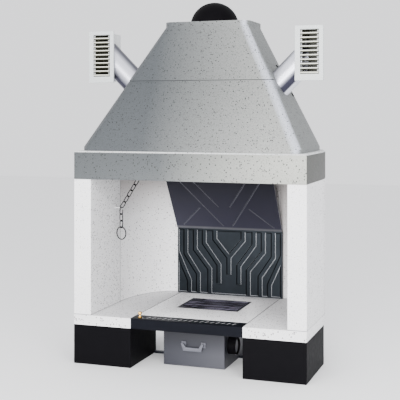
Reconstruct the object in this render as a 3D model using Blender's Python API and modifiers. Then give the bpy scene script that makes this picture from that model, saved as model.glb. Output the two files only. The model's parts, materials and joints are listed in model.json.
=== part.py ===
"""Open fireplace firebox with hood, warm-air grilles, ash drawer and pull-chain damper.

Metres, +Z up. The front faces -Y. Depths in this file are measured back from
the front plane of the firebox, and FRONT moves them so that the origin lies
under the middle of the whole unit.
"""
import math

import bmesh
import bpy
from mathutils import Matrix, Vector

# Overall plan of the body
HALF_WIDTH = 0.629
DEPTH = 0.80
FRONT = -DEPTH / 2
SIDE_END = 0.375
REAR_HALF = HALF_WIDTH - 0.299
WALL = 0.0975
PANEL_INNER = HALF_WIDTH - WALL
GAP = 0.0003

# Heights
PLINTH_TOP = 0.2056
HEARTH_TOP = 0.2585
PANEL_TOP = 0.9727
MANTEL_BOTTOM = PANEL_TOP + GAP
MANTEL_TOP = 1.122
HOOD_JOINT = MANTEL_TOP + 0.371
HOOD_TOP = MANTEL_TOP + 0.694
HOOD_LIP = 0.020
HOOD_TOP_HALF = 0.241
TOP_LIP = 0.026

# Plinths and hearth
PLINTH_INNER = HALF_WIDTH - 0.3262
PLINTH_DEPTH = 0.400
LEFT_PLINTH_DEPTH = 0.350
THRESHOLD_HALF = PLINTH_INNER - GAP
THRESHOLD_DEPTH = 0.092
THRESHOLD_BOTTOM = HEARTH_TOP - 0.0535
GRATE_HALF = 0.175
GRATE_FRONT = 0.330
GRATE_BACK = 0.600
GRATE_THICK = 0.020
SLOT_COUNT = 17
SLOT_PITCH = THRESHOLD_HALF * 0.09587
KNOB_X = 0.0406 - THRESHOLD_HALF
REGISTER_TRAVEL = 0.012

# Ash drawer and its casing
CASING_HALF = 0.168
CASING_FRONT = 0.133
CASING_BACK = DEPTH - 0.080
COLLAR_DEPTH = 0.210
COLLAR_HEIGHT = 0.108
COLLAR_OUTER = 0.045
SHEET = 0.003
DRAWER_TRAVEL = 0.400

# Fire chamber
FIREBACK_HALF = 0.319
BACK_PANEL_FRONT = DEPTH - 0.0497
FIREBACK_FRONT = BACK_PANEL_FRONT - 0.0303
FIREBACK_TOP = 0.643
CHANNEL_WIDTH = 0.030
CHANNEL_DEPTH = 0.006
PLATE_TOP_DEPTH = FIREBACK_FRONT - 0.290
PLATE_TOP = MANTEL_TOP - 0.022

# Damper and chain
SHAFT_DEPTH = 0.262
SHAFT_HEIGHT = MANTEL_TOP - 0.032
SHAFT_RADIUS = 0.006
LEVER_X = -0.345
LEVER_LENGTH = 0.090
LEVER_ANGLE = math.radians(-25)
FLAP_ANGLE = math.radians(-70)
FLAP_HALF = 0.330
FLAP_REACH = 0.120
LINK_LENGTH = 0.047
LINK_WIDTH = 0.026
WIRE = 0.0025
LINK_LAP = 0.00268
BEND_PLAY = 0.0007
RING_RADIUS = 0.0345
RING_WIRE = 0.003
BEND = Vector((0.048 - PANEL_INNER, 0.284, SHAFT_HEIGHT - 0.292))
CHAIN_TURN = math.radians(-20)
UPPER_LINKS = 6
LOWER_LINKS = 3

# Warm-air side
DUCT_RADIUS = 0.070
DUCT_WALL = 0.0015
DUCT_DEPTH = 0.330
DUCT_X = HALF_WIDTH - 0.219
DUCT_Z = HOOD_JOINT - 0.018
GRILLE_X = DUCT_X + 0.175
GRILLE_WIDTH = 0.150
GRILLE_HEIGHT = 0.285
GRILLE_Z = DUCT_Z + 0.155
GRILLE_FRONT = 0.238
GRILLE_THICK = 0.012
BOX_INNER = GRILLE_X - 0.040
BOX_OUTER = GRILLE_X + 0.042
BOX_BACK = 0.412

# Flue
FLUE_DEPTH = 0.465
DOME_RADIUS = 0.135
DOME_BASE = HOOD_TOP - 0.019
COLLAR_RADIUS = 0.120

COLOURS = {
    "refractory": ((0.86, 0.86, 0.85, 1), 0.85, 0.0),
    "mantel_stone": ((0.62, 0.65, 0.62, 1), 0.8, 0.0),
    "hood_stone": ((0.45, 0.47, 0.46, 1), 0.75, 0.0),
    "black": ((0.015, 0.015, 0.018, 1), 0.5, 0.0),
    "cast": ((0.035, 0.038, 0.05, 1), 0.5, 0.7),
    "grate_iron": ((0.06, 0.045, 0.06, 1), 0.6, 0.6),
    "steel_grey": ((0.30, 0.30, 0.31, 1), 0.45, 0.5),
    "bright_steel": ((0.72, 0.73, 0.77, 1), 0.28, 0.9),
    "white_paint": ((0.80, 0.82, 0.82, 1), 0.4, 0.0),
    "brass": ((0.80, 0.55, 0.20, 1), 0.3, 1.0),
    "chain_iron": ((0.03, 0.03, 0.032, 1), 0.45, 0.8),
}


def clear_scene():
    for obj in list(bpy.data.objects):
        bpy.data.objects.remove(obj)


def material(name, kind):
    colour, rough, metal = COLOURS[kind]
    mat = bpy.data.materials.new(name)
    mat.use_nodes = True
    shader = mat.node_tree.nodes["Principled BSDF"]
    shader.inputs["Base Color"].default_value = colour
    shader.inputs["Roughness"].default_value = rough
    shader.inputs["Metallic"].default_value = metal
    return mat


clear_scene()
PARTS = bpy.data.collections.new("fireplace_firebox")
CUTTERS = bpy.data.collections.new("cutters")
bpy.context.scene.collection.children.link(PARTS)
bpy.context.scene.collection.children.link(CUTTERS)


def place(obj, kind):
    """Put a part in the parts collection, or a cutter (kind None) with the cutters."""
    if kind is None:
        CUTTERS.objects.link(obj)
        obj.hide_render = True
        obj.display_type = "WIRE"
    else:
        PARTS.objects.link(obj)
        obj.data.materials.append(material(obj.name, kind))
    return obj


def from_bmesh(name, bm, kind, smooth=False):
    bmesh.ops.recalc_face_normals(bm, faces=bm.faces[:])
    mesh = bpy.data.meshes.new(name)
    bm.to_mesh(mesh)
    bm.free()
    if smooth:
        mesh.shade_smooth()
        mesh.set_sharp_from_angle(angle=math.radians(35))
    return place(bpy.data.objects.new(name, mesh), kind)


def world(x, depth, z):
    return Vector((x, FRONT + depth, z))


def box(name, x, depth, z, kind, bevel=0.0):
    """Box from (low, high) pairs; depth is measured from the front plane."""
    size = Vector((x[1] - x[0], depth[1] - depth[0], z[1] - z[0]))
    centre = world(sum(x) / 2, sum(depth) / 2, sum(z) / 2)
    bm = bmesh.new()
    bmesh.ops.create_cube(bm, size=1.0, matrix=Matrix.Diagonal(size.to_4d()))
    obj = from_bmesh(name, bm, kind)
    obj.location = centre
    if bevel:
        soften(obj, bevel)
    return obj


def soften(obj, width, segments=1, angle=30):
    mod = obj.modifiers.new("edges", "BEVEL")
    mod.width = width
    mod.segments = segments
    mod.limit_method = "ANGLE"
    mod.angle_limit = math.radians(angle)
    mod.use_clamp_overlap = True
    return mod


def cylinder(name, centre, axis, radius, length, kind, steps=32, smooth=True):
    bm = bmesh.new()
    bmesh.ops.create_cone(bm, cap_ends=True, segments=steps, radius1=radius,
                          radius2=radius, depth=length)
    obj = from_bmesh(name, bm, kind, smooth)
    obj.location = centre
    obj.rotation_euler = Vector(axis).to_track_quat("Z", "Y").to_euler()
    return obj


def boolean(obj, cutter, operation="DIFFERENCE"):
    mod = obj.modifiers.new(cutter.name, "BOOLEAN")
    mod.operation = operation
    mod.solver = "EXACT"
    mod.object = cutter
    return obj


def turned(name, profile, centre, kind, steps=40):
    """Closed (radius, height) profile turned about Z through centre."""
    mesh = bpy.data.meshes.new(name)
    count = len(profile)
    edges = [(i, (i + 1) % count) for i in range(count)]
    mesh.from_pydata([(r, 0, z) for r, z in profile], edges, [])
    obj = place(bpy.data.objects.new(name, mesh), kind)
    obj.location = centre
    mod = obj.modifiers.new("turn", "SCREW")
    mod.angle = math.tau
    mod.steps = steps
    mod.render_steps = steps
    mod.use_merge_vertices = True
    mod.merge_threshold = 0.00001
    mod.use_smooth_shade = False
    return obj


def skin(bm, low, high):
    count = len(low)
    for i in range(count):
        j = (i + 1) % count
        bm.faces.new((low[i], low[j], high[j], high[i]))


def loops(bm, levels):
    return [[bm.verts.new(p) for p in level] for level in levels]


def solid_loft(name, levels, kind, smooth=False):
    """Closed solid through a stack of matching outlines."""
    bm = bmesh.new()
    rings = loops(bm, levels)
    for low, high in zip(rings, rings[1:]):
        skin(bm, low, high)
    bm.faces.new(rings[0])
    bm.faces.new(rings[-1])
    return from_bmesh(name, bm, kind, smooth)


def shell_loft(name, outer, inner, kind, smooth=False):
    """Open-ended solid wall between two stacks of matching outlines."""
    bm = bmesh.new()
    out = loops(bm, outer)
    inn = loops(bm, inner)
    for stack in (out, inn):
        for low, high in zip(stack, stack[1:]):
            skin(bm, low, high)
    skin(bm, out[0], inn[0])
    skin(bm, out[-1], inn[-1])
    return from_bmesh(name, bm, kind, smooth)


def at_height(points, z):
    return [world(x, y, z) for x, y in points]


def plan(half, front, straight, back, rear_half, corner=0.0, front_steps=5, rear_steps=10):
    """Plan outline: square or round front corners, elliptical rear corners."""
    right = [(half, front)]
    if corner:
        right = []
        for i in range(front_steps + 1):
            a = math.pi / 2 * i / front_steps
            right.append((half - corner + corner * math.sin(a),
                          front + corner - corner * math.cos(a)))
    for i in range(rear_steps + 1):
        a = math.pi / 2 * i / rear_steps
        right.append((rear_half + (half - rear_half) * math.cos(a),
                      straight + (back - straight) * math.sin(a)))
    left = [(-x, y) for x, y in reversed(right)]
    return right + left


def divide(points, longest):
    """Add points so that no side of the outline is over the given length."""
    result = []
    for i, (x0, y0) in enumerate(points):
        x1, y1 = points[(i + 1) % len(points)]
        parts = max(1, math.ceil(math.hypot(x1 - x0, y1 - y0) / longest))
        for k in range(parts):
            t = k / parts
            result.append((x0 + (x1 - x0) * t, y0 + (y1 - y0) * t))
    return result


def wire_loop(name, points, radius, kind):
    """Closed wire along points, given relative to the object's own origin."""
    curve = bpy.data.curves.new(name, "CURVE")
    curve.dimensions = "3D"
    curve.bevel_depth = radius
    curve.bevel_resolution = 2
    curve.twist_mode = "MINIMUM"
    spline = curve.splines.new("POLY")
    spline.points.add(len(points) - 1)
    for point, co in zip(spline.points, points):
        point.co = (co[0], co[1], co[2], 1)
    spline.use_cyclic_u = True
    return place(bpy.data.objects.new(name, curve), kind)


def stadium(length, width, foot=None, steps=6):
    """Centreline of a link in the local XZ plane, long side on Z, its foot narrower if given."""
    points = []
    for side, wide in ((1, width), (-1, foot or width)):
        r = wide / 2
        for i in range(steps + 1):
            a = math.pi * i / steps
            z = length / 2 - r + r * math.sin(a)
            points.append(Vector((side * r * math.cos(a), 0, side * z)))
    return points


def body_outline(half=HALF_WIDTH, front=0.0, back=DEPTH, wall=0.0):
    return plan(half - wall, front, SIDE_END, back, REAR_HALF)


def make_plinths():
    for side, label, depth in ((-1, "left", LEFT_PLINTH_DEPTH), (1, "right", PLINTH_DEPTH)):
        xs = sorted((side * PLINTH_INNER, side * HALF_WIDTH))
        box("plinth_" + label, xs, (0.0, depth), (0.0, PLINTH_TOP), "black", 0.002)
        bar = sorted((side * (CASING_HALF + GAP), side * (PLINTH_INNER - GAP)))
        box("tie_bar_" + label, bar, (depth - 0.028, depth - 0.008), (0.0, 0.012), "cast")


def make_hearth():
    arc = body_outline()
    for side, label in ((-1, "left"), (1, "right")):
        outline = [(side * x, y) for x, y in arc if x > 0]
        outline += [(side * PLINTH_INNER, DEPTH), (side * PLINTH_INNER, 0.0)]
        levels = [at_height(outline, z) for z in (PLINTH_TOP + GAP, HEARTH_TOP)]
        slab = solid_loft("hearth_slab_" + label, levels, "refractory")
        xs = sorted((side * (PLINTH_INNER - 0.01), side * (PLINTH_INNER + 0.0203)))
        boolean(slab, box("tongue_slot_" + label, xs, (0.0197, 0.0723),
                          (THRESHOLD_BOTTOM + 0.0097, THRESHOLD_BOTTOM + 0.0313), None))
    plate = box("hearth_plate", (-THRESHOLD_HALF, THRESHOLD_HALF), (THRESHOLD_DEPTH + GAP, DEPTH),
                (THRESHOLD_BOTTOM + GAP, HEARTH_TOP), "refractory")
    well = GRATE_HALF + GAP
    boolean(plate, box("grate_well", (-well, well), (GRATE_FRONT - GAP, GRATE_BACK + GAP),
                       (HEARTH_TOP - GRATE_THICK - GAP, HEARTH_TOP + 0.01), None))
    throat = GRATE_HALF - 0.020
    boolean(plate, box("grate_throat", (-throat, throat), (GRATE_FRONT + 0.020, GRATE_BACK - 0.020),
                       (THRESHOLD_BOTTOM - 0.01, HEARTH_TOP - 0.01), None))


def wave(x):
    return 0.007 * math.sin(x / GRATE_HALF * math.tau * 0.9) - 0.010 * x / GRATE_HALF


def make_grate():
    """Flat grate with a plain rim, cut through by wavy slots between its bars."""
    grate = box("grate", (-GRATE_HALF, GRATE_HALF), (GRATE_FRONT, GRATE_BACK),
                (HEARTH_TOP - GRATE_THICK, HEARTH_TOP), "grate_iron")
    rows = 8
    pitch = (GRATE_BACK - GRATE_FRONT - 0.034) / rows
    reach = GRATE_HALF - 0.018
    bm = bmesh.new()
    steps = 18
    for row in range(rows):
        mid = (GRATE_FRONT + GRATE_BACK) / 2 + (row - (rows - 1) / 2) * pitch
        xs = [-reach + 2 * reach * i / steps for i in range(steps + 1)]
        half = pitch * 0.24
        near = [(x, mid - half + wave(x)) for x in xs]
        far = [(x, mid + half + wave(x)) for x in reversed(xs)]
        rings = loops(bm, [at_height(near + far, z) for z in (HEARTH_TOP - 0.03, HEARTH_TOP + 0.01)])
        skin(bm, rings[0], rings[1])
        bm.faces.new(rings[0])
        bm.faces.new(rings[1])
    boolean(grate, from_bmesh("grate_slots", bm, None))


def make_threshold():
    low, high = THRESHOLD_BOTTOM, HEARTH_TOP
    bar = box("threshold_bar", (-THRESHOLD_HALF, THRESHOLD_HALF), (0.0, THRESHOLD_DEPTH),
              (low, high), "cast", 0.002)
    boolean(bar, box("bar_tongues", (-THRESHOLD_HALF - 0.02, THRESHOLD_HALF + 0.02),
                     (0.020, 0.072), (low + 0.010, low + 0.031), None), "UNION")
    pocket = THRESHOLD_HALF - 0.012
    boolean(bar, box("register_pocket", (-pocket, pocket), (0.018, 0.074),
                     (high - 0.0153, high - 0.0042), None))
    boolean(bar, box("air_channel", (-pocket + 0.024, pocket - 0.024), (0.026, 0.066),
                     (low - 0.01, high - 0.0145), None))
    boolean(bar, slanted_slots("bar_slots", 0.0, high - 0.0145, high + 0.01))
    knob = KNOB_X
    boolean(bar, box("knob_slot", (knob - 0.0055, knob + 0.0175), (0.0245, 0.0355),
                     (high - 0.0145, high + 0.01), None))
    strip = box("air_register", (-pocket + 0.016, pocket - 0.016), (0.0185, 0.0735),
                (high - 0.0150, high - 0.0045), "steel_grey")
    boolean(strip, slanted_slots("register_slots", REGISTER_TRAVEL, low, high + 0.01))
    profile = [(0.0, 0.0), (0.0045, 0.0), (0.0045, 0.0050), (0.0105, 0.0053), (0.0105, 0.0075),
               (0.0055, 0.0115), (0.0045, 0.0175), (0.0060, 0.0205), (0.0095, 0.0235),
               (0.0107, 0.0280), (0.0095, 0.0330), (0.0060, 0.0360), (0.0, 0.0370)]
    turned("brass_knob", list(reversed(profile)), world(knob, 0.030, high - 0.0042), "brass", 24)


def slanted_slots(name, shift, low, high):
    """Row of short oblique air slots across the threshold bar."""
    bm = bmesh.new()
    first = 0.0125 - SLOT_PITCH * (SLOT_COUNT - 1) / 2
    for i in range(SLOT_COUNT):
        x = first + i * SLOT_PITCH - shift
        outline = [(x - 0.010, 0.031), (x - 0.003, 0.031), (x + 0.010, 0.061), (x + 0.003, 0.061)]
        rings = loops(bm, [at_height(outline, z) for z in (low, high)])
        skin(bm, rings[0], rings[1])
        bm.faces.new(rings[0])
        bm.faces.new(rings[1])
    return from_bmesh(name, bm, None)


def make_ash_casing():
    inner = CASING_HALF - SHEET
    casing = box("ash_casing", (-CASING_HALF, CASING_HALF), (CASING_FRONT, CASING_BACK),
                 (0.0, THRESHOLD_BOTTOM), "steel_grey")
    boolean(casing, box("casing_room", (-inner, inner), (CASING_FRONT - 0.01, CASING_BACK - SHEET),
                        (SHEET, THRESHOLD_BOTTOM + 0.02), None))
    boolean(casing, cylinder("collar_hole", world(CASING_HALF, COLLAR_DEPTH, COLLAR_HEIGHT), (1, 0, 0),
                             0.040, 0.02, None))


def make_ash_drawer():
    half = CASING_HALF - SHEET - 0.004
    back = CASING_BACK - 0.020
    tray = box("ash_drawer_tray", (-half, half), (CASING_FRONT - 0.0027, back), (SHEET + GAP, 0.075),
               "steel_grey")
    boolean(tray, box("tray_room", (-half + 0.002, half - 0.002), (CASING_FRONT - 0.0007, back - 0.002),
                      (SHEET + GAP + 0.002, 0.09), None))
    face = CASING_FRONT - 0.008
    box("ash_drawer_front", (-CASING_HALF, CASING_HALF), (face, face + 0.005),
        (0.002, THRESHOLD_BOTTOM - 0.0045), "steel_grey", 0.001)
    make_drawer_handle(face - GAP)


def make_drawer_handle(face):
    """Bent strap: two square feet on the drawer front, and a grip that hangs below them."""
    handle = box("ash_drawer_handle", (-0.066, 0.066), (face - 0.005, face), (0.104, 0.131),
                 "steel_grey")
    boolean(handle, box("handle_middle", (-0.042, 0.042), (face - 0.02, face + 0.01),
                        (0.09, 0.14), None))
    outline = [(-0.062, 0.126), (-0.049, 0.126), (-0.037, 0.106), (0.037, 0.106), (0.049, 0.126),
               (0.062, 0.126), (0.049, 0.088), (-0.049, 0.088)]
    levels = [[world(x, y, z) for x, z in outline] for y in (face - 0.027, face - 0.021)]
    boolean(handle, solid_loft("handle_grip", levels, None), "UNION")
    for side, label in ((-1, "left"), (1, "right")):
        xs = sorted((side * 0.050, side * 0.0575))
        boolean(handle, box("handle_foot_" + label, xs, (face - 0.026, face - 0.001),
                            (0.110, 0.123), None), "UNION")


def make_air_collar():
    length = 0.045
    start = CASING_HALF + GAP
    mid = world(start + length / 2, COLLAR_DEPTH, COLLAR_HEIGHT)
    valve = world(start + 0.034, COLLAR_DEPTH, COLLAR_HEIGHT)
    collar = cylinder("air_collar", mid, (1, 0, 0), COLLAR_OUTER, length, "black")
    boolean(collar, cylinder("collar_bore", mid, (1, 0, 0), COLLAR_OUTER - 0.0035, 0.06, None))
    boolean(collar, cylinder("spindle_hole", valve, (0, 0, 1), 0.00306, 0.12, None, 24))
    disc = cylinder("air_valve_disc", valve, (1, 0, 0), COLLAR_OUTER - 0.005, 0.002, "steel_grey")
    boolean(disc, cylinder("valve_spindle", valve, (0, 0, 1), 0.003, 2 * COLLAR_OUTER + 0.004,
                           None, 24), "UNION")
    grip = box("valve_grip", (valve.x - 0.0015, valve.x + 0.0015),
               (COLLAR_DEPTH - 0.008, COLLAR_DEPTH + 0.008),
               (COLLAR_HEIGHT + COLLAR_OUTER + 0.0015, COLLAR_HEIGHT + COLLAR_OUTER + 0.013), None)
    boolean(disc, grip, "UNION")


def make_panels():
    for side, label in ((-1, "left"), (1, "right")):
        xs = sorted((side * PANEL_INNER, side * HALF_WIDTH))
        box("side_panel_" + label, xs, (0.003, SIDE_END - GAP),
            (HEARTH_TOP + GAP, PANEL_TOP), "refractory", 0.0015)
        outer = [p for p in body_outline() if p[0] > 0 and p[1] >= SIDE_END - 0.001]
        inner = [p for p in plan(PANEL_INNER, 0, SIDE_END, BACK_PANEL_FRONT, REAR_HALF)
                 if p[0] > 0 and p[1] >= SIDE_END - 0.001]
        outline = [(side * x, y) for x, y in outer + inner[::-1]]
        levels = [at_height(outline, z) for z in (HEARTH_TOP + GAP, PANEL_TOP)]
        solid_loft("corner_panel_" + label, levels, "refractory", True)
    box("back_panel", (-REAR_HALF + GAP, REAR_HALF - GAP), (BACK_PANEL_FRONT, DEPTH),
        (HEARTH_TOP + GAP, PANEL_TOP), "refractory")


def make_mantel():
    inner = plan(PANEL_INNER, 0.095, SIDE_END, DEPTH - 0.100, REAR_HALF)
    edge = 0.008
    top = plan(HALF_WIDTH - edge, edge, SIDE_END, DEPTH - edge, REAR_HALF)
    outer = [at_height(body_outline(), z) for z in (MANTEL_BOTTOM, MANTEL_TOP - edge)]
    outer.append(at_height(top, MANTEL_TOP))
    rings = [at_height(inner, z) for z in (MANTEL_BOTTOM, MANTEL_TOP - edge, MANTEL_TOP)]
    shell_loft("mantel", outer, rings, "mantel_stone", True)


def ribbon(points, width):
    """Outline of a band of the given width along a bent line, with mitred bends."""
    left, right = [], []
    for i, point in enumerate(points):
        before = (point - points[i - 1]).normalized() if i else None
        after = (points[i + 1] - point).normalized() if i + 1 < len(points) else None
        along = (before or after).lerp(after or before, 0.5).normalized()
        across = Vector((-along.y, along.x))
        reach = width / 2 / max(0.3, along.dot(after or before))
        left.append(point + across * reach)
        right.append(point - across * reach)
    return left + right[::-1]


def groove(name, lines, width, depth, matrix, narrow=0.73):
    """Sloping-sided channels along lines drawn on a face; +Z of matrix is outwards."""
    bm = bmesh.new()
    for line in lines:
        points = [Vector(p) for p in line]
        levels = []
        for z, wide in ((0.002, width), (-depth, width * narrow)):
            levels.append([matrix @ Vector((p.x, p.y, z)) for p in ribbon(points, wide)])
        rings = loops(bm, levels)
        skin(bm, rings[0], rings[1])
        bm.faces.new(rings[0])
        bm.faces.new(rings[1])
    return from_bmesh(name, bm, None)


def mirrored(lines):
    return lines + [[(-x, y) for x, y in line] for line in lines]


def face_matrix(depth, z, tilt):
    """Frame on a face: local X to the right, local Y up the face, local Z to the front."""
    return Matrix.Translation(world(0, depth, z)) @ Matrix.Rotation(math.pi / 2 + tilt, 4, "X")


def make_fireback():
    """Thick plate with raised lands, parted by bent channels and a sunken border."""
    back = box("fireback", (-FIREBACK_HALF, FIREBACK_HALF), (FIREBACK_FRONT, BACK_PANEL_FRONT - GAP),
               (HEARTH_TOP + GAP, FIREBACK_TOP), "cast", 0.002)
    width = 2 * FIREBACK_HALF
    height = FIREBACK_TOP - HEARTH_TOP

    def on_face(path):
        return [((u - 0.5) * width, (1 - v) * height) for u, v in path]
    outer = [(-0.012, 0.33), (0.118, 0.80), (0.118, 1.03)]
    second = [(0.082, -0.03), (0.082, 0.39), (0.205, 0.69), (0.205, 1.03)]
    third = [(0.175, -0.03), (0.175, 0.32), (0.316, 0.61), (0.316, 1.03)]
    inner = [(0.262, -0.03), (0.262, 0.22), (0.405, 0.54), (0.405, 0.82)]
    middle = [(0.365, -0.03), (0.365, 0.155), (0.5, 0.42), (0.635, 0.155), (0.635, -0.03)]
    stem = [(0.5, 0.38), (0.5, 0.68)]
    uprights = [(0.0, -0.03), (0.0, 1.03)]
    level = [(-0.03, 0.0), (1.03, 0.0)]
    frame = face_matrix(FIREBACK_FRONT, HEARTH_TOP, 0.0)
    paths = mirrored([on_face(path) for path in (outer, second, third, inner)])
    boolean(back, groove("fireback_channels", paths, CHANNEL_WIDTH, CHANNEL_DEPTH, frame))
    boolean(back, groove("fireback_middle", [on_face(middle)], CHANNEL_WIDTH, CHANNEL_DEPTH, frame))
    boolean(back, groove("fireback_stem", [on_face(stem)], CHANNEL_WIDTH, CHANNEL_DEPTH, frame))
    border = mirrored([on_face(uprights)])
    boolean(back, groove("fireback_sides", border, 0.026, CHANNEL_DEPTH, frame))
    border = [on_face(level), [(x, 0.0) for x, y in on_face(level)]]
    boolean(back, groove("fireback_ends", border, 0.026, CHANNEL_DEPTH, frame))


def make_upper_fireback():
    run = FIREBACK_FRONT - PLATE_TOP_DEPTH
    rise = PLATE_TOP - FIREBACK_TOP
    tilt = -math.atan2(run, rise)
    length = math.hypot(run, rise)
    frame = face_matrix(FIREBACK_FRONT, FIREBACK_TOP + GAP, -tilt)
    normal = frame.to_3x3() @ Vector((0, 0, 1))
    foot = 0.018 / normal.y * -1
    profile = [(FIREBACK_FRONT, FIREBACK_TOP + GAP), (PLATE_TOP_DEPTH, PLATE_TOP)]
    profile += [(PLATE_TOP_DEPTH + foot * 0.9, PLATE_TOP), (FIREBACK_FRONT + foot, FIREBACK_TOP + GAP)]
    xs = (-FIREBACK_HALF, FIREBACK_HALF)
    plate = solid_loft("upper_fireback", [[world(x, y, z) for y, z in profile] for x in xs], "cast")
    low, high = 0.019, 0.263
    inside = FIREBACK_FRONT + foot * 0.4
    rear = BACK_PANEL_FRONT - GAP
    rib = [(inside - run * low / rise, FIREBACK_TOP + low),
           (inside - run * high / rise, FIREBACK_TOP + high),
           (rear, FIREBACK_TOP + high), (rear, FIREBACK_TOP + low)]
    bm = bmesh.new()
    for x in (-0.2, 0.2):
        rings = loops(bm, [[world(x + w, y, z) for y, z in rib] for w in (-0.006, 0.006)])
        skin(bm, rings[0], rings[1])
        bm.faces.new(rings[0])
        bm.faces.new(rings[1])
    boolean(plate, from_bmesh("plate_ribs", bm, None), "UNION")
    lines = [
        [(-0.254, length * 0.68), (-0.028, length * 0.05)],
        [(-0.172, length * 0.68), (-0.033, length * 0.303)],
        [(-0.148, length * 0.288), (-0.276, length * 0.045)],
    ]
    boolean(plate, groove("plate_grooves", mirrored(lines), 0.008, 0.003, frame, 0.5))


def hood_plan(t, wall=0.0):
    """Plan of the hood at t, from its foot (0) to its top (1), drawn in by the wall."""
    def mix(a, b):
        return a + (b - a) * t
    half = mix(HALF_WIDTH - 0.030, HOOD_TOP_HALF) - wall
    front = mix(0.012, FLUE_DEPTH - 0.162) + wall
    back = mix(DEPTH - 0.020, FLUE_DEPTH + 0.195) - wall
    return plan(half, front, mix(SIDE_END, FLUE_DEPTH + 0.061), back,
                mix(REAR_HALF, 0.130), mix(0.060, 0.050) - wall * 0.5, 5, 8)


def make_hood():
    foot = MANTEL_TOP + GAP
    slope = (MANTEL_TOP + HOOD_LIP, HOOD_TOP - TOP_LIP)
    joint = (HOOD_JOINT - slope[0]) / (slope[1] - slope[0])
    edge = 0.002
    heights = [(foot, 0.0, 0.035), (slope[0], 0.0, 0.035), (HOOD_JOINT - edge, joint, 0.028),
               (HOOD_JOINT - GAP, joint, 0.028)]
    outer = [at_height(hood_plan(t, 0.0015 if z == HOOD_JOINT - GAP else 0.0), z) for z, t, w in heights]
    inner = [at_height(hood_plan(t, w), z) for z, t, w in heights]
    lower = shell_loft("hood_lower", outer, inner, "hood_stone", True)
    heights = [(HOOD_JOINT, joint, 0.028), (HOOD_JOINT + edge, joint, 0.028),
               (slope[1], 1.0, 0.013), (HOOD_TOP, 1.0, 0.013)]
    outer = [at_height(hood_plan(t, 0.0015 if z == HOOD_JOINT else 0.0), z) for z, t, w in heights]
    inner = [at_height(hood_plan(t, w), z) for z, t, w in heights]
    upper = shell_loft("hood_upper", outer, inner, "hood_stone", True)
    for side, label in ((-1, "left"), (1, "right")):
        centre = world(side * DUCT_X, DUCT_DEPTH, DUCT_Z)
        for piece in (lower, upper):
            boolean(piece, cylinder("duct_hole_" + label + piece.name, centre, (side, 0, 1),
                                    DUCT_RADIUS + GAP, 0.24, None, 32))


def make_smoke_chamber():
    sheet = 0.003
    low, high, top = MANTEL_TOP + GAP, HOOD_TOP - 0.076, HOOD_TOP - 0.0363
    foot = divide(plan(HALF_WIDTH - 0.080, 0.062, SIDE_END, DEPTH - 0.072, REAR_HALF, 0.040, 3, 6), 0.14)
    angles = [math.atan2(y - FLUE_DEPTH, x) for x, y in foot]

    def ring(radius):
        return [(radius * math.cos(a), FLUE_DEPTH + radius * math.sin(a)) for a in angles]
    inner_foot = [(x * (1 - sheet / 0.45), FLUE_DEPTH + (y - FLUE_DEPTH) * (1 - sheet / 0.33))
                  for x, y in foot]
    outer = [at_height(foot, low), at_height(ring(COLLAR_RADIUS), high),
             at_height(ring(COLLAR_RADIUS), top)]
    inner = [at_height(inner_foot, low), at_height(ring(COLLAR_RADIUS - sheet), high),
             at_height(ring(COLLAR_RADIUS - sheet), top)]
    shell_loft("smoke_chamber", outer, inner, "steel_grey", True)


def make_flue():
    bore = COLLAR_RADIUS - 0.012
    rim = DOME_RADIUS + 0.008
    neck = DOME_RADIUS - 0.005
    seat = HOOD_TOP - 0.0360
    shelf = DOME_BASE - 0.0003
    ring = [(bore, seat), (rim, seat), (rim, shelf), (neck, shelf), (neck, shelf + 0.0045),
            (bore, shelf + 0.0045)]
    turned("flue_ring", ring[::-1], world(0, FLUE_DEPTH, 0), "cast", 48)
    steps = 12
    outer = []
    inner = []
    for i in range(steps + 1):
        a = math.pi / 2 * i / steps
        outer.append((DOME_RADIUS * math.cos(a), DOME_RADIUS * math.sin(a)))
        inner.append(((DOME_RADIUS - 0.004) * math.cos(a), (DOME_RADIUS - 0.004) * math.sin(a)))
    outer[-1] = (0.0, DOME_RADIUS)
    inner[-1] = (0.0, DOME_RADIUS - 0.004)
    dome = turned("flue_dome", outer[::-1] + inner, world(0, FLUE_DEPTH, DOME_BASE), "black", 48)
    tube = cylinder("outlet_tube", world(0, FLUE_DEPTH + DOME_RADIUS + 0.0025, DOME_BASE + 0.065),
                    (0, 1, 0), 0.060, 0.055, None, 32)
    boolean(dome, tube, "UNION")
    boolean(dome, cylinder("outlet_bore", world(0, FLUE_DEPTH + DOME_RADIUS - 0.015, DOME_BASE + 0.065),
                           (0, 1, 0), 0.056, 0.14, None, 32))


def duct_section(side, radius, plane=None, steps=32):
    """Ring of points on the duct: square across it at its root, or on the upright plane x."""
    middle = world(side * DUCT_X, DUCT_DEPTH, DUCT_Z)
    along = Vector((side, 0, 1)).normalized()
    across = Vector((side, 0, -1)).normalized()
    ring = []
    for i in range(steps):
        a = math.tau * i / steps
        point = middle + radius * (math.cos(a) * across + math.sin(a) * Vector((0, 1, 0)))
        reach = -0.052 if plane is None else (side * plane - point.x) / along.x
        ring.append(point + along * reach)
    return ring


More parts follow.
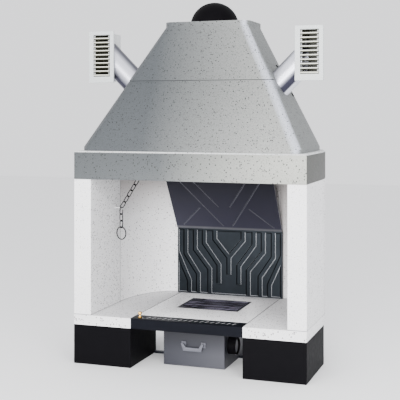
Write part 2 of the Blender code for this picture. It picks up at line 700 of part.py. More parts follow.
def make_warm_air():
    for side, label in ((-1, "left"), (1, "right")):
        end = BOX_INNER + 0.0025
        stacks = [[duct_section(side, r), duct_section(side, r, end)]
                  for r in (DUCT_RADIUS, DUCT_RADIUS - DUCT_WALL)]
        shell_loft("duct_" + label, stacks[0], stacks[1], "bright_steel", True)
        xs = sorted((side * BOX_INNER, side * BOX_OUTER))
        low, high = GRILLE_Z - 0.1325, GRILLE_Z + 0.1325
        front = GRILLE_FRONT + GRILLE_THICK + GAP
        case = box("grille_box_" + label, xs, (front, BOX_BACK), (low, high), "white_paint")
        room = (xs[0] + 0.002, xs[1] - 0.002)
        boolean(case, box("box_room_" + label, room, (front - 0.01, BOX_BACK - 0.002),
                          (low + 0.002, high - 0.002), None))
        hole = [duct_section(side, DUCT_RADIUS + GAP, x) for x in (BOX_INNER - 0.02, BOX_INNER + 0.006)]
        boolean(case, solid_loft("box_hole_" + label, hole, None))
        make_grille(label, side)


def make_grille(label, side):
    xs = (side * GRILLE_X - GRILLE_WIDTH / 2, side * GRILLE_X + GRILLE_WIDTH / 2)
    zs = (GRILLE_Z - GRILLE_HEIGHT / 2, GRILLE_Z + GRILLE_HEIGHT / 2)
    grille = box("grille_" + label, xs, (GRILLE_FRONT, GRILLE_FRONT + GRILLE_THICK), zs,
                 "white_paint", 0.002)
    opening = (xs[0] + 0.029, xs[1] - 0.022)
    top = zs[1] - 0.0235
    boolean(grille, box("grille_recess_" + label, opening, (GRILLE_FRONT - 0.01, GRILLE_FRONT + 0.003),
                        (top - 0.2275, top), None))
    bm = bmesh.new()
    for i in range(10):
        z = top - 0.0075 - i * 0.0225
        matrix = Matrix.Translation(world(sum(opening) / 2, GRILLE_FRONT + 0.008, z))
        matrix = matrix @ Matrix.Rotation(math.radians(-25), 4, "X")
        matrix = matrix @ Matrix.Diagonal((opening[1] - opening[0] - 0.0002, 0.03, 0.0132, 1))
        bmesh.ops.create_cube(bm, size=1.0, matrix=matrix)
    boolean(grille, from_bmesh("grille_slots_" + label, bm, None))


def make_damper():
    shaft = world(0, SHAFT_DEPTH, SHAFT_HEIGHT)
    cylinder("damper_shaft", shaft, (1, 0, 0), SHAFT_RADIUS, 2 * (PANEL_INNER - 0.0007),
             "steel_grey", 32)
    bore = SHAFT_RADIUS + GAP
    for side, label in ((-1, "left"), (1, "right")):
        xs = sorted((side * (PANEL_INNER - 0.0063), side * (PANEL_INNER - GAP)))
        bracket = box("damper_bracket_" + label, xs, (SHAFT_DEPTH - 0.03, SHAFT_DEPTH + 0.03),
                      (SHAFT_HEIGHT - 0.045, SHAFT_HEIGHT + 0.0245), "steel_grey")
        hole = world(side * (PANEL_INNER - 0.0025), SHAFT_DEPTH, SHAFT_HEIGHT)
        boolean(bracket, cylinder("shaft_hole_" + label, hole, (1, 0, 0), SHAFT_RADIUS + 0.00009,
                                  0.03, None, 32))
    flap = box("damper_flap", (-FLAP_HALF, FLAP_HALF),
               (SHAFT_DEPTH - FLAP_REACH, SHAFT_DEPTH + FLAP_REACH),
               (SHAFT_HEIGHT - 0.002, SHAFT_HEIGHT + 0.002), "steel_grey")
    flap.rotation_euler = (FLAP_ANGLE, 0, 0)
    boolean(flap, cylinder("flap_sleeve", shaft, (1, 0, 0), SHAFT_RADIUS + 0.004,
                           2 * FLAP_HALF - 0.0001, None, 24), "UNION")
    boolean(flap, cylinder("flap_bore", shaft, (1, 0, 0), bore, 2 * FLAP_HALF + 0.04, None, 32))
    make_lever(bore)


def make_lever(bore):
    """Arm on the damper shaft, with a slot near its end for the pull rod's wire."""
    lever = cylinder("damper_lever", Vector(), (1, 0, 0), 0.014, 0.004, "steel_grey", 24)
    lever.location = world(LEVER_X, SHAFT_DEPTH, SHAFT_HEIGHT)
    turn = Matrix.Rotation(LEVER_ANGLE, 4, "X")
    reach = (LEVER_LENGTH + 0.013) / 2
    arm = box("lever_arm", (-0.002, 0.002), (-reach, reach), (-0.010, 0.010), None)
    arm.location = lever.location + turn @ Vector((0, reach, 0))
    arm.rotation_euler = (LEVER_ANGLE, 0, 0)
    boolean(lever, arm, "UNION")
    slot = box("lever_slot", (-0.01, 0.01), (-0.0098, 0.0098), (-0.0064, 0.0064), None)
    slot.location = lever.location + turn @ Vector((0, LEVER_LENGTH - 0.0028, 0))
    slot.rotation_euler = (LEVER_ANGLE, 0, 0)
    boolean(lever, slot)
    boolean(lever, cylinder("lever_bore", lever.location, (1, 0, 0), bore, 0.02, None, 32))


def link_at(name, start, end, facing, kind, length=LINK_LENGTH, width=LINK_WIDTH, foot=LINK_WIDTH):
    """Link between two joints of the chain, its flat side turned to facing."""
    path = stadium(length - 2 * WIRE, width - 2 * WIRE, foot - 2 * WIRE)
    obj = wire_loop(name, path, WIRE, kind)
    up = (end - start).normalized()
    normal = (facing - up * facing.dot(up)).normalized()
    across = normal.cross(up)
    basis = Matrix((across, normal, up)).transposed()
    obj.matrix_world = Matrix.Translation((start + end) / 2) @ basis.to_4x4()
    return obj


def make_chain():
    pitch = LINK_LENGTH - 2 * WIRE - 2 * LINK_LAP
    bend = world(*BEND)
    tip = world(LEVER_X, SHAFT_DEPTH, SHAFT_HEIGHT)
    tip += Matrix.Rotation(LEVER_ANGLE, 4, "X") @ Vector((0, LEVER_LENGTH, 0))
    slant = (tip - bend).normalized()
    turn = Matrix.Rotation(CHAIN_TURN, 3, "Z")
    facings = (turn @ Vector((1, 0, 0)), turn @ Vector((0, 1, 0)))
    joints = [bend + slant * pitch * i for i in range(UPPER_LINKS + 1)]
    for i in range(UPPER_LINKS):
        link_at("chain_link_%d" % (i + 1), joints[i], joints[i + 1], facings[(i + 1) % 2],
                "chain_iron")
    drop = Vector((0, 0, -pitch))
    hang = bend + Vector((0, 0, BEND_PLAY))
    for i in range(LOWER_LINKS):
        link_at("chain_link_%d" % (UPPER_LINKS + i + 1), hang + drop * (i + 1), hang + drop * i,
                facings[i % 2], "chain_iron")
    low = joints[-1] - slant * LINK_LAP
    rod_length = (tip - low).length + 2 * WIRE
    across = Vector((1, 0, 0)) - slant * slant.x
    facing = slant.cross(across)
    link_at("pull_rod", low, tip, facing, "chain_iron", rod_length, 0.040, 0.018)
    make_ring(hang + drop * LOWER_LINKS)


def make_ring(hang):
    """Pull ring; its origin is at its top, where it swings over the last link's wire."""
    steps = 24
    points = [Vector((RING_RADIUS * math.cos(math.tau * i / steps), 0,
                      RING_RADIUS * math.sin(math.tau * i / steps) - RING_RADIUS)) for i in range(steps)]
    ring = wire_loop("pull_ring", points, RING_WIRE, "chain_iron")
    ring.location = hang + Vector((0, 0, WIRE + RING_WIRE + GAP - LINK_LAP))
    ring.rotation_euler = (0, 0, CHAIN_TURN)


def make_chain_hook():
    finger_x = BEND.x + 0.0172
    z = BEND.z - 0.004
    wall = -PANEL_INNER + GAP
    back = BEND.y + 0.029
    points = [(wall + 0.001, back), (finger_x - 0.006, back), (finger_x - 0.002, back - 0.002),
              (finger_x, back - 0.006), (finger_x, BEND.y - 0.022)]
    curve = bpy.data.curves.new("hook_wire", "CURVE")
    curve.dimensions = "3D"
    curve.bevel_depth = 0.003
    curve.bevel_resolution = 2
    curve.use_fill_caps = True
    spline = curve.splines.new("POLY")
    spline.points.add(len(points) - 1)
    for point, (x, y) in zip(spline.points, points):
        point.co = (*world(x, y, z), 1)
    wire = bpy.data.objects.new("hook_wire", curve)
    PARTS.objects.link(wire)
    depsgraph = bpy.context.evaluated_depsgraph_get()
    mesh = bpy.data.meshes.new_from_object(wire.evaluated_get(depsgraph))
    bpy.data.objects.remove(wire)
    bm = bmesh.new()
    bm.from_mesh(mesh)
    bmesh.ops.remove_doubles(bm, verts=bm.verts[:], dist=0.00001)
    finger = from_bmesh("hook_finger", bm, None, True)
    plate = cylinder("chain_hook", world(wall + 0.0015, back, z), (1, 0, 0), 0.012, 0.003,
                     "chain_iron", 24)
    boolean(plate, finger, "UNION")


make_plinths()
make_hearth()
make_grate()
make_threshold()
make_ash_casing()
make_ash_drawer()
make_air_collar()
make_panels()
make_mantel()
make_fireback()
make_upper_fireback()
make_hood()
make_smoke_chamber()
make_flue()
make_warm_air()
make_damper()
make_chain()
make_chain_hook()
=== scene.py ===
import json
import math

import bpy
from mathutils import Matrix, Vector


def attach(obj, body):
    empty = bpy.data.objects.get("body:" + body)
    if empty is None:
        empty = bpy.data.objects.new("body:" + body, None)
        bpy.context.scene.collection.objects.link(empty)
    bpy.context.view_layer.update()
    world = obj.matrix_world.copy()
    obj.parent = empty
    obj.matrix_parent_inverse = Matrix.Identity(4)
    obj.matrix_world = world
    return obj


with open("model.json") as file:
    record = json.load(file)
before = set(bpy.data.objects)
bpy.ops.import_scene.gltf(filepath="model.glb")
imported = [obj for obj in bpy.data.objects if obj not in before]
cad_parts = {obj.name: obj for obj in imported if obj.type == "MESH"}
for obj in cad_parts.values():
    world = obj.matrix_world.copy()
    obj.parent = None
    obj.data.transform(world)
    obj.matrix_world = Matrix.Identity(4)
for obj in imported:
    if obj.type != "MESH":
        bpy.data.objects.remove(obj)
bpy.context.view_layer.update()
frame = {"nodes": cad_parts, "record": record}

NODES = frame["nodes"]

# Camera, fitted to the photograph
CAMERA_AT = (1.6519, -4.8150, 1.3308)
CAMERA_TURN = (math.pi / 2, 0.0, 0.3255)
LENS = 83.6
SENSOR_WIDTH = 36.0
LENS_SHIFT = (-0.0388, -0.222)
VIEW_END = 60.0

# Studio: where each light stands, what it faces, its width and height, watts and colour
SKY_COLOUR = (0.97, 0.975, 1.0, 1)
SKY_STRENGTH = 1.6
WHITE = (1, 1, 1)
COOL_WHITE = (0.88, 0.93, 1.0)
LIGHTS = {
    "key_right": ((2.6, -3.4, 2.9), (0.1, 0.0, 1.0), (1.6, 1.6), 100, WHITE),
    "front_far": ((0.9, -7.2, 1.4), (0.0, 0.0, 0.6), (2.5, 2.2), 800, WHITE),
    "hearth_fill": ((-0.3, -2.7, 2.0), (0.0, 0.1, 0.3), (1.2, 0.8), 32, WHITE),
    "rim_right": ((3.2, 1.0, 2.2), (0.4, 0.0, 1.2), (1.5, 2.0), 20, COOL_WHITE),
}
FLOOR_HALF = 12

# Places on the solids that the paint follows, in metres along the frame's axes
BODY_Y = (-0.41, 0.41)
PLATE_JOINT_X = (0.3006, 0.3052)
PLATE_JOINT_Z = (0.2565, 0.2590)
WALL_FOOT_Z = (0.2587, 0.2612)
CHAMBER_X = (-0.534, 0.534)
CHAMBER_REAR_Y = (-0.0250, 0.36)
CHAMBER_Z = (0.2587, 0.9740)
JAMB_JOINT_Y = (-0.0274, -0.0234)
JAMB_JOINT_Z = (0.2587, 0.9727)
RIGHT_SHADE_X = 0.30
MANTEL_HIGHLIGHT_Z = (1.1145, 1.1300)
HOOD_SEAM_Z = (1.4913, 1.4947)
AIR_SLOTS = ((-0.25, 0.26), (-0.378, -0.330), (0.2435, 0.2579))
GRATE_BARS = ((-0.160, 0.160), (-0.056, 0.184), (0.2570, 0.2600))

# Grilles, their cases and the duct ends inside the cases
GRILLE_X = 0.585
OPENING_X = (-0.0465, 0.0535)
OPENING_Z = (1.5205, 1.7500)
LOUVRE_FACE_Y = (-0.1596, -0.1584)
LOUVRE_BACK_Y = (-0.1588, -0.1470)
LOUVRE_Z = 1.73255
LOUVRE_PITCH = 0.0225
LOUVRE_EDGE = 0.0040
END_SHADOW = 0.0045
CASE_ROOM_X = (0.5457, 0.6263)
CASE_ROOM_Y = (-0.1607, 0.0112)
CASE_ROOM_Z = (1.4983, 1.7617)
DUCT_END_X = (0.547, 0.640)
DUCT_END_Y = (-0.2, 0.05)
DUCT_END_Z = (1.45, 1.80)

# Dark marks of painted shade where the ducts meet the hood's sides: places on the right side,
# directions and half sizes
SHADE_MARK_PLACES = {"upper": (0.3631, 0.0412, 1.5704), "lower": (0.4435, 0.0612, 1.4190)}
SHADE_MARK_OUT = (0.876, 0.03, 0.48)
SHADE_MARK_UP = (-0.48, 0.0, 0.876)
SHADE_MARK_LIFT = 0.0015
SHADE_MARK_HALF = (0.010, 0.005, 0.003)

# Rounding of the edges, for the nodes that have any
BEVELS = {
    "mantel": 0.003, "hearth_slab_left": 0.0025, "hearth_slab_right": 0.0025,
    "hearth_plate": 0.0025, "ash_drawer_handle": 0.001, "tie_bar_left": 0.001,
    "tie_bar_right": 0.001,
}
BEVEL_STEPS = 2
BEVEL_ANGLE = math.radians(35)
CRISP_ANGLE = math.radians(32)
WELD_REACH = 0.00001

# Sockets of the colour mix node
MIX_AMOUNT, MIX_FIRST, MIX_SECOND, MIX_RESULT = 0, 6, 7, 2


def make_camera():
    data = bpy.data.cameras.new("photo_camera")
    data.lens = LENS
    data.sensor_width = SENSOR_WIDTH
    data.shift_x, data.shift_y = LENS_SHIFT
    data.clip_end = VIEW_END
    camera = bpy.data.objects.new("photo_camera", data)
    camera.location = CAMERA_AT
    camera.rotation_euler = CAMERA_TURN
    bpy.context.scene.collection.objects.link(camera)
    bpy.context.scene.camera = camera


def area_light(name, at, aim, size, power, colour):
    data = bpy.data.lights.new(name, "AREA")
    data.shape = "RECTANGLE"
    data.size, data.size_y = size
    data.energy = power
    data.color = colour
    light = bpy.data.objects.new(name, data)
    light.location = at
    reach = Vector(aim) - Vector(at)
    light.rotation_euler = reach.to_track_quat("-Z", "Y").to_euler()
    bpy.context.scene.collection.objects.link(light)


def make_sky():
    world = bpy.data.worlds.new("studio")
    world.use_nodes = True
    back = world.node_tree.nodes["Background"]
    back.inputs["Color"].default_value = SKY_COLOUR
    back.inputs["Strength"].default_value = SKY_STRENGTH
    bpy.context.scene.world = world


def make_floor():
    corners = [(x * FLOOR_HALF, y * FLOOR_HALF, 0) for x, y in ((-1, -1), (1, -1), (1, 1), (-1, 1))]
    mesh = bpy.data.meshes.new("studio_floor")
    mesh.from_pydata(corners, [], [(0, 1, 2, 3)])
    floor = bpy.data.objects.new("studio_floor", mesh)
    bpy.context.scene.collection.objects.link(floor)
    floor.data.materials.append(plain_floor())


def make_studio():
    make_sky()
    for name, values in LIGHTS.items():
        area_light(name, *values)
    make_floor()


def span(side, ends):
    """Range along X at one side of the middle, low end first."""
    return tuple(sorted(side * end for end in ends))


class Paint:
    """A procedural material under construction: one Principled shader and its node helpers."""

    def __init__(self, name, rough, metal=0.0, specular=0.5):
        self.mat = bpy.data.materials.new(name)
        self.mat.use_nodes = True
        self.tree = self.mat.node_tree
        self.shader = self.tree.nodes["Principled BSDF"]
        self.shader.inputs["Roughness"].default_value = rough
        self.shader.inputs["Metallic"].default_value = metal
        self.shader.inputs["Specular IOR Level"].default_value = specular
        self.coords = self.tree.nodes.new("ShaderNodeTexCoord")

    def node(self, kind, **values):
        made = self.tree.nodes.new(kind)
        for key, value in values.items():
            if key in made.inputs:
                made.inputs[key].default_value = value
            else:
                setattr(made, key, value)
        return made

    def link(self, output, node, socket):
        self.tree.links.new(output, node.inputs[socket])

    def noise(self, scale, detail=3.0):
        made = self.node("ShaderNodeTexNoise", Scale=scale, Detail=detail, Roughness=0.5)
        self.link(self.coords.outputs["Object"], made, "Vector")
        return made.outputs["Fac"]

    def place(self, axis):
        """Object coordinate along one axis."""
        split = self.node("ShaderNodeSeparateXYZ")
        self.link(self.coords.outputs["Object"], split, "Vector")
        return split.outputs[axis]

    def ramp(self, source, low, high, clamp=True):
        """0 at low and 1 at high."""
        made = self.node("ShaderNodeMapRange")
        made.clamp = clamp
        made.inputs["From Min"].default_value = low
        made.inputs["From Max"].default_value = high
        self.link(source, made, "Value")
        return made.outputs["Result"]

    def times(self, first, second):
        """Product of two masks."""
        made = self.node("ShaderNodeMath", operation="MULTIPLY")
        self.link(first, made, 0)
        self.link(second, made, 1)
        return made.outputs[0]

    def near(self, source, middle, reach):
        """1 where a value lies within reach of the middle, 0 elsewhere."""
        made = self.node("ShaderNodeMath", operation="COMPARE")
        made.inputs[1].default_value = middle
        made.inputs[2].default_value = reach
        self.link(source, made, 0)
        return made.outputs[0]

    def between(self, axis, low, high):
        """1 between two places along an object axis, 0 beyond them."""
        return self.near(self.place(axis), (low + high) / 2, (high - low) / 2)

    def within(self, xs, ys, zs):
        """1 inside an upright box in object space, 0 outside it."""
        flat = self.times(self.between("X", *xs), self.between("Y", *ys))
        return self.times(flat, self.between("Z", *zs))

    def along(self, axis, low, high):
        """0 to 1 along an object axis, for paint that lightens across a face."""
        return self.ramp(self.place(axis), low, high)

    def facing(self, axis, low, high, rounded=0.0):
        """0 to 1 as the surface turns about an object axis; rounded spreads the turn at an edge."""
        split = self.node("ShaderNodeSeparateXYZ")
        if rounded:
            soft = self.node("ShaderNodeBevel", Radius=rounded)
            soft.samples = 6
            self.link(soft.outputs["Normal"], split, "Vector")
        else:
            self.link(self.coords.outputs["Normal"], split, "Vector")
        return self.ramp(split.outputs[axis], low, high)

    def stripes(self, axis, middle, pitch, width):
        """1 on bars of this width, one at the middle and one at each pitch from it."""
        turns = self.ramp(self.place(axis), middle - pitch / 2, middle + pitch / 2, clamp=False)
        part = self.node("ShaderNodeMath", operation="FRACT")
        self.link(turns, part, 0)
        return self.near(part.outputs[0], 0.5, width / pitch / 2)

    def streaks(self, counts, low, high):
        """Long soft streaks: noise stretched by the counts along X, Y and Z."""
        stretch = self.node("ShaderNodeMapping")
        stretch.inputs["Scale"].default_value = counts
        self.link(self.coords.outputs["Object"], stretch, "Vector")
        made = self.node("ShaderNodeTexNoise", Scale=1.0, Detail=1.0)
        self.link(stretch.outputs["Vector"], made, "Vector")
        return self.ramp(made.outputs["Fac"], low, high)

    def specks(self, scale, share, size):
        """1 inside scattered grains, 0 elsewhere; share is the part of the cells with a grain."""
        cells = self.node("ShaderNodeTexVoronoi", Scale=scale)
        self.link(self.coords.outputs["Object"], cells, "Vector")
        pick = self.node("ShaderNodeSeparateColor")
        self.link(cells.outputs["Color"], pick, "Color")
        chosen = self.node("ShaderNodeMath", operation="LESS_THAN")
        chosen.inputs[1].default_value = share
        self.link(pick.outputs["Red"], chosen, 0)
        radius = self.node("ShaderNodeMath", operation="MULTIPLY")
        radius.inputs[1].default_value = size
        self.link(pick.outputs["Green"], radius, 0)
        inside = self.node("ShaderNodeMath", operation="SUBTRACT")
        self.link(radius.outputs[0], inside, 0)
        self.link(cells.outputs["Distance"], inside, 1)
        return self.times(self.ramp(inside.outputs[0], -0.03, 0.03), chosen.outputs[0])

    def mix(self, amount, first, second):
        """First where the amount is 0, second where it is 1; each is a colour or an output."""
        made = self.node("ShaderNodeMix", data_type="RGBA")
        if isinstance(amount, float):
            made.inputs[MIX_AMOUNT].default_value = amount
        else:
            self.link(amount, made, MIX_AMOUNT)
        for value, socket in ((first, MIX_FIRST), (second, MIX_SECOND)):
            if isinstance(value, tuple):
                made.inputs[socket].default_value = (*value, 1)
            else:
                self.link(value, made, socket)
        return made.outputs[MIX_RESULT]

    def colour(self, source):
        self.link(source, self.shader, "Base Color")

    def vary_roughness(self, source, low, high):
        made = self.node("ShaderNodeMapRange")
        made.inputs["To Min"].default_value = low
        made.inputs["To Max"].default_value = high
        self.link(source, made, "Value")
        self.link(made.outputs["Result"], self.shader, "Roughness")

    def bump(self, source, strength, distance=0.001):
        made = self.node("ShaderNodeBump", Strength=strength, Distance=distance)
        self.link(source, made, "Height")
        self.link(made.outputs["Normal"], self.shader, "Normal")


def plain_floor():
    paint = Paint("floor_pale", 0.9)
    paint.colour(paint.mix(paint.noise(3.0), (0.90, 0.90, 0.905), (0.92, 0.92, 0.925)))
    return paint.mat


def refractory():
    """Pale cast refractory with grains and dark joints, and painted brownish shade on the inner
    rear walls of the chamber, darker towards the top.
    """
    paint = Paint("refractory_white", 0.82, 0.0, 0.3)
    base = paint.mix(paint.noise(9.0, 5.0), (0.77, 0.765, 0.77), (0.84, 0.835, 0.84))
    base = paint.mix(paint.ramp(paint.noise(300.0, 2.0), 0.50, 0.68), base, (0.56, 0.55, 0.57))
    base = paint.mix(paint.specks(120.0, 0.34, 0.46), base, (0.17, 0.155, 0.165))
    for side in (-1, 1):
        joint = paint.within(span(side, PLATE_JOINT_X), BODY_Y, PLATE_JOINT_Z)
        base = paint.mix(joint, base, (0.04, 0.04, 0.045))
    base = paint.mix(paint.between("Z", *WALL_FOOT_Z), base, (0.22, 0.22, 0.23))
    joint = paint.within(CHAMBER_X, JAMB_JOINT_Y, JAMB_JOINT_Z)
    base = paint.mix(joint, base, (0.12, 0.12, 0.13))
    # Painted shade under the mantel: brownish, growing towards the top on the left and over the
    # whole height of the right strip, on inward faces only
    inward = paint.facing("Y", 0.0, -0.02)
    left = paint.within((CHAMBER_X[0], RIGHT_SHADE_X), CHAMBER_REAR_Y, CHAMBER_Z)
    shade = paint.times(paint.times(left, inward), paint.along("Z", 0.72, 0.98))
    base = paint.mix(shade, base, (0.36, 0.325, 0.315))
    right = paint.within((RIGHT_SHADE_X, CHAMBER_X[1]), CHAMBER_REAR_Y, CHAMBER_Z)
    shade = paint.times(paint.times(right, inward), paint.along("Z", 0.0, 1.0))
    base = paint.mix(shade, base, (0.345, 0.315, 0.305))
    paint.colour(base)
    paint.bump(paint.noise(180.0, 4.0), 0.25)
    return paint.mat


def grained(paint, base, speck, share):
    """Fine grain and scattered dark specks over a colour."""
    deep = paint.mix(0.5, base, speck)
    base = paint.mix(paint.ramp(paint.noise(380.0, 2.0), 0.48, 0.66), base, deep)
    base = paint.mix(paint.specks(190.0, share, 0.5), base, deep)
    base = paint.mix(paint.specks(125.0, share, 0.46), base, speck)
    return base


def mantel_stone():
    """Speckled band with painted light: lighter to the right, painted shade on its right side and a
    painted highlight on its top edge.
    """
    paint = Paint("mantel_speckled", 0.5, 0.0, 0.3)
    # Painted light: the front lightens to the right, the right side gets painted shade, the top
    # chamfer band a painted highlight
    base = paint.mix(paint.along("X", -0.15, 0.56), (0.070, 0.077, 0.081), (0.36, 0.365, 0.33))
    base = paint.mix(paint.facing("X", 0.5, 0.8), base, (0.072, 0.073, 0.067))
    base = paint.mix(paint.between("Z", *MANTEL_HIGHLIGHT_Z), base, (0.62, 0.63, 0.63))
    paint.colour(grained(paint, base, (0.016, 0.016, 0.015), 0.35))
    paint.vary_roughness(paint.noise(60.0), 0.42, 0.62)
    paint.bump(paint.noise(240.0, 3.0), 0.12)
    return paint.mat


def hood_stone():
    """Painted light: lighter to the right, a painted highlight on the rounded right corner, painted
    shade on both sides.
    """
    paint = Paint("hood_speckled", 0.5, 0.0, 0.3)
    # Painted light and shade: gradient to the right, highlight where the front turns into the side,
    # shade on both sides
    base = paint.mix(paint.along("X", -0.25, 0.42), (0.052, 0.058, 0.063), (0.24, 0.245, 0.235))
    base = paint.mix(paint.facing("X", 0.10, 0.45), base, (0.46, 0.48, 0.54))
    base = paint.mix(paint.facing("X", 0.62, 0.86), base, (0.150, 0.158, 0.155))
    base = paint.mix(paint.facing("X", -0.3, -0.8), base, (0.11, 0.115, 0.12))
    base = grained(paint, base, (0.012, 0.013, 0.013), 0.38)
    paint.colour(paint.mix(paint.between("Z", *HOOD_SEAM_Z), base, (0.03, 0.032, 0.034)))
    paint.vary_roughness(paint.noise(60.0), 0.42, 0.62)
    paint.bump(paint.noise(240.0, 3.0), 0.12)
    return paint.mat


def metal(name, dark, light, rough, metallic, grain, bump, specular=0.5):
    """Evenly grained surface between two tones; rough is the range of its roughness."""
    paint = Paint(name, sum(rough) / 2, metallic, specular)
    paint.colour(paint.mix(paint.noise(grain / 6, 4.0), dark, light))
    paint.vary_roughness(paint.noise(grain / 3, 3.0), *rough)
    paint.bump(paint.noise(grain, 3.0), bump, 0.0006)
    return paint.mat


def fireback_iron():
    """Cast iron with painted light on its raised parts: painted highlights on their left and lower
    edges, painted shade on their right and upper edges.
    """
    paint = Paint("fireback_iron", 0.35, 0.8, 0.2)
    base = paint.mix(paint.noise(14.0, 3.0), (0.008, 0.010, 0.012), (0.019, 0.023, 0.028))
    black = (0.0015, 0.0017, 0.002)
    bright = (0.42, 0.43, 0.45)
    # Painted shade on walls facing right and up, painted highlights on walls facing left and down
    for axis in "ZX":
        base = paint.mix(paint.facing(axis, 0.15, 0.40, 0.0025), base, black)
        base = paint.mix(paint.facing(axis, -0.15, -0.42, 0.003), base, bright)
    paint.colour(base)
    paint.vary_roughness(paint.noise(90.0, 3.0), 0.30, 0.42)
    paint.bump(paint.noise(300.0, 3.0), 0.2, 0.0006)
    return paint.mat


def upper_plate_iron():
    """Leaning cast plate: lighter and bluer towards its bright foot, with scribed lines that carry
    painted highlights on their walls.
    """
    paint = Paint("upper_plate_iron", 0.45, 0.5, 0.15)
    base = paint.mix(paint.along("Z", 0.66, 1.0), (0.038, 0.037, 0.054), (0.009, 0.009, 0.011))
    # Painted highlights on the walls of the scribed lines, brighter on the walls facing left
    base = paint.mix(paint.facing("X", 0.12, 0.35, 0.0015), base, (0.12, 0.12, 0.135))
    base = paint.mix(paint.facing("X", -0.12, -0.35, 0.0015), base, (0.18, 0.18, 0.205))
    base = paint.mix(paint.along("Z", 0.659, 0.654), base, (0.10, 0.10, 0.112))
    paint.colour(base)
    paint.bump(paint.noise(260.0, 3.0), 0.1, 0.0006)
    return paint.mat


def grille_case(side):
    """White case, matt, with painted shade inside."""
    paint = Paint("grille_case", 0.45, 0.0, 0.4)
    # Painted shade: the inside of the case, seen through the louvres, is dark
    painted_shade_inside = paint.within(span(side, CASE_ROOM_X), CASE_ROOM_Y, CASE_ROOM_Z)
    white = paint.mix(paint.noise(20.0), (0.66, 0.68, 0.685), (0.72, 0.74, 0.74))
    paint.colour(paint.mix(painted_shade_inside, white, (0.020, 0.020, 0.012)))
    return paint.mat


def grille_enamel(side):
    """White frame, painted highlights on the louvre edges, painted shade between the louvres and a
    painted shadow at their right end.
    """
    paint = Paint("grille_enamel", 0.36, 0.0, 0.4)
    dark = (0.045, 0.045, 0.031)
    left, right = (side * GRILLE_X + end for end in OPENING_X)
    base = paint.mix(paint.noise(20.0), (0.42, 0.44, 0.445), (0.47, 0.49, 0.49))
    # Painted light on the louvres: a highlight along each edge, shade on the rest of the face and
    # behind it, a shadow at the right end
    edges = paint.stripes("Z", LOUVRE_Z, LOUVRE_PITCH, LOUVRE_EDGE)
    face = paint.mix(edges, dark, (0.62, 0.62, 0.54))
    base = paint.mix(paint.within((left, right), LOUVRE_FACE_Y, OPENING_Z), base, face)
    base = paint.mix(paint.within((left, right), LOUVRE_BACK_Y, OPENING_Z), base, dark)
    end = paint.within((right - END_SHADOW, right), LOUVRE_FACE_Y, OPENING_Z)
    paint.colour(paint.mix(end, base, dark))
    return paint.mat


def duct_steel():
    """Bright rolled steel with painted reflection bands: dark along its top edge, painted shade low
    on its front, a painted reflection along its underside, and painted shade inside the cases.
    """
    paint = Paint("duct_steel", 0.3, 0.7, 0.4)
    light = (0.68, 0.69, 0.76)
    base = paint.mix(paint.noise(15.0, 4.0), (0.60, 0.61, 0.68), light)
    # Painted reflection bands: dark along the top, painted shade low on the front, light again
    # along the underside
    base = paint.mix(paint.facing("Z", 0.50, 0.68), base, (0.06, 0.06, 0.08))
    base = paint.mix(paint.facing("Z", 0.08, -0.34), base, (0.030, 0.030, 0.048))
    base = paint.mix(paint.facing("Z", -0.55, -0.61), base, light)
    for side in (-1, 1):
        end = paint.within(span(side, DUCT_END_X), DUCT_END_Y, DUCT_END_Z)
        base = paint.mix(end, base, (0.02, 0.02, 0.02))
    paint.colour(base)
    paint.vary_roughness(paint.noise(30.0, 3.0), 0.28, 0.38)
    return paint.mat


def drawer_steel():
    """Grey sheet with painted shade under the bar and painted light towards its lower right corner.
    """
    paint = Paint("drawer_steel", 0.42, 0.2, 0.3)
    # Painted light towards the right and painted shade towards the top, under the bar
    base = paint.mix(paint.along("X", -0.168, 0.168), (0.026, 0.027, 0.035), (0.058, 0.059, 0.070))
    base = paint.mix(paint.along("Z", 0.07, 0.205), base, (0.007, 0.007, 0.010))
    paint.colour(base)
    paint.bump(paint.noise(140.0, 3.0), 0.05, 0.0006)
    return paint.mat


def threshold_iron():
    """Black bar, with painted glints on the sides of its air slots."""
    paint = Paint("threshold_black", 0.48, 0.2, 0.06)
    base = paint.mix(paint.noise(30.0), (0.0030, 0.0034, 0.0055), (0.0045, 0.0050, 0.0078))
    # Painted glints: the walls inside the air slots are light
    paint.colour(paint.mix(paint.within(*AIR_SLOTS), base, (0.55, 0.55, 0.56)))
    return paint.mat


def grate_iron():
    """Dark rim, painted shade in the slots, and painted violet-grey highlights in long streaks on
    the bars.
    """
    paint = Paint("grate_iron_dark", 0.34, 0.4, 0.25)
    # Painted highlights: violet-grey streaks along the tops of the bars
    streak_glints = paint.streaks((5.0, 34.0, 1.0), 0.42, 0.56)
    top = paint.mix(streak_glints, (0.010, 0.009, 0.013), (0.34, 0.31, 0.42))
    base = paint.mix(paint.within(*GRATE_BARS), (0.008, 0.007, 0.010), top)
    # Painted shade: walls that do not face up, the sides of the slots, are black
    paint.colour(paint.mix(paint.facing("Z", 0.90, 0.60), base, (0.002, 0.0018, 0.0025)))
    return paint.mat


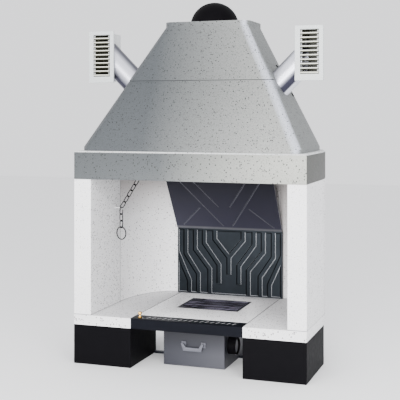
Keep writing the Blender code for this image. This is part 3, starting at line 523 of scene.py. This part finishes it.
def make_materials():
    """One material for each slot of the record."""
    return {
        "refractory": refractory(),
        "mantel_stone": mantel_stone(),
        "hood_stone": hood_stone(),
        "black_plinth": metal("plinth_black", (0.0022, 0.0021, 0.0028), (0.0032, 0.0030, 0.0038),
                              (0.45, 0.6), 0.0, 120.0, 0.06, 0.03),
        "cast": metal("cast_blue_black", (0.010, 0.012, 0.017), (0.018, 0.020, 0.027),
                      (0.38, 0.55), 0.8, 300.0, 0.25, 0.15),
        "grate_iron": grate_iron(),
        "casing_steel": metal("casing_grey", (0.030, 0.031, 0.040), (0.042, 0.043, 0.054),
                              (0.35, 0.5), 0.2, 140.0, 0.05, 0.3),
        "inner_steel": metal("plain_steel", (0.18, 0.18, 0.19), (0.26, 0.26, 0.27),
                             (0.3, 0.5), 0.9, 160.0, 0.1),
        "bright_steel": duct_steel(),
        "white_paint": metal("white_enamel", (0.66, 0.68, 0.685), (0.72, 0.74, 0.74),
                             (0.3, 0.42), 0.0, 120.0, 0.04),
        "black_paint": metal("black_heatproof", (0.0015, 0.0013, 0.0018), (0.0026, 0.0023, 0.0030),
                             (0.5, 0.65), 0.0, 160.0, 0.05, 0.03),
        "brass": metal("brass_polished", (0.70, 0.42, 0.10), (0.85, 0.56, 0.18),
                       (0.18, 0.3), 1.0, 200.0, 0.04),
        "chain_iron": metal("chain_black", (0.0012, 0.0012, 0.0014), (0.0025, 0.0024, 0.0027),
                            (0.6, 0.75), 0.0, 300.0, 0.1, 0.04),
    }


def own_paints():
    """Pieces that look different from the rest of their material's pieces."""
    return {
        "fireback": fireback_iron(),
        "upper_fireback": upper_plate_iron(),
        "threshold_bar": threshold_iron(),
        # The register is pale as a painted glint: it shows as light ticks through the air slots of
        # the bar
        "air_register": metal("register_bright", (0.62, 0.62, 0.63), (0.78, 0.78, 0.79),
                              (0.4, 0.5), 0.0, 200.0, 0.05),
        "ash_drawer_front": drawer_steel(),
        "ash_drawer_handle": metal("handle_steel", (0.085, 0.087, 0.105), (0.12, 0.122, 0.145),
                                   (0.3, 0.42), 0.3, 140.0, 0.05, 0.4),
        "grille_left": grille_enamel(-1),
        "grille_right": grille_enamel(1),
        "chain_hook": metal("hook_pale", (0.60, 0.60, 0.61), (0.68, 0.68, 0.69),
                            (0.6, 0.7), 0.0, 200.0, 0.05, 0.2),
        "air_valve_disc": metal("valve_steel", (0.40, 0.40, 0.44), (0.52, 0.52, 0.56),
                                (0.3, 0.4), 0.5, 200.0, 0.05),
        "grille_box_left": grille_case(-1),
        "grille_box_right": grille_case(1),
    }


def dress(name, mat, bevel):
    """Give a CAD node its paint, joined corners, softened edges and smooth round faces."""
    obj = NODES[name]
    obj.data.materials.clear()
    obj.data.materials.append(mat)
    for face in obj.data.polygons:
        face.use_smooth = True
    weld = obj.modifiers.new("weld", "WELD")
    weld.merge_threshold = WELD_REACH
    if bevel:
        soft = obj.modifiers.new("soft_edges", "BEVEL")
        soft.width = bevel
        soft.segments = BEVEL_STEPS
        soft.limit_method = "ANGLE"
        soft.angle_limit = BEVEL_ANGLE
        soft.harden_normals = True
    split = obj.modifiers.new("crisp", "EDGE_SPLIT")
    split.split_angle = CRISP_ANGLE


def dress_nodes(materials, own):
    slots = {s["node"]: s["material_slot"] for s in frame["record"]["subparts"]}
    for name in NODES:
        dress(name, own.get(name, materials[slots[name]]), BEVELS.get(name, 0.0))


def duct_shade_mark(name, at, side, mat):
    """Small dark block lying on the hood's side at the rim of the duct's hole, put there as painted
    shade where the duct meets the hood.
    """
    mirror = Vector((side, 1, 1))
    out = (Vector(SHADE_MARK_OUT) * mirror).normalized()
    up = (Vector(SHADE_MARK_UP) * mirror).normalized()
    across = out.cross(up).normalized()
    middle = Vector(at) * mirror + out * SHADE_MARK_LIFT
    corners = []
    for a in (-SHADE_MARK_HALF[0], SHADE_MARK_HALF[0]):
        for b in (-SHADE_MARK_HALF[1], SHADE_MARK_HALF[1]):
            for c in (-SHADE_MARK_HALF[2], SHADE_MARK_HALF[2]):
                corners.append(middle + up * a + across * b + out * c)
    faces = [(0, 1, 3, 2), (4, 6, 7, 5), (0, 4, 5, 1), (2, 3, 7, 6), (0, 2, 6, 4), (1, 5, 7, 3)]
    mesh = bpy.data.meshes.new(name)
    mesh.from_pydata(corners, [], faces)
    shade_mark_obj = bpy.data.objects.new(name, mesh)
    bpy.context.scene.collection.objects.link(shade_mark_obj)
    shade_mark_obj.data.materials.append(mat)
    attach(shade_mark_obj, "firebox")


def make_shade_marks(mat):
    for side, label in ((-1, "left"), (1, "right")):
        for level, at in SHADE_MARK_PLACES.items():
            duct_shade_mark("duct_shade_mark_" + level + "_" + label, at, side, mat)


make_camera()
make_studio()
MATERIALS = make_materials()
dress_nodes(MATERIALS, own_paints())
# Dark blocks as painted shade at the edges of the ducts where they meet the hood
make_shade_marks(MATERIALS["chain_iron"])
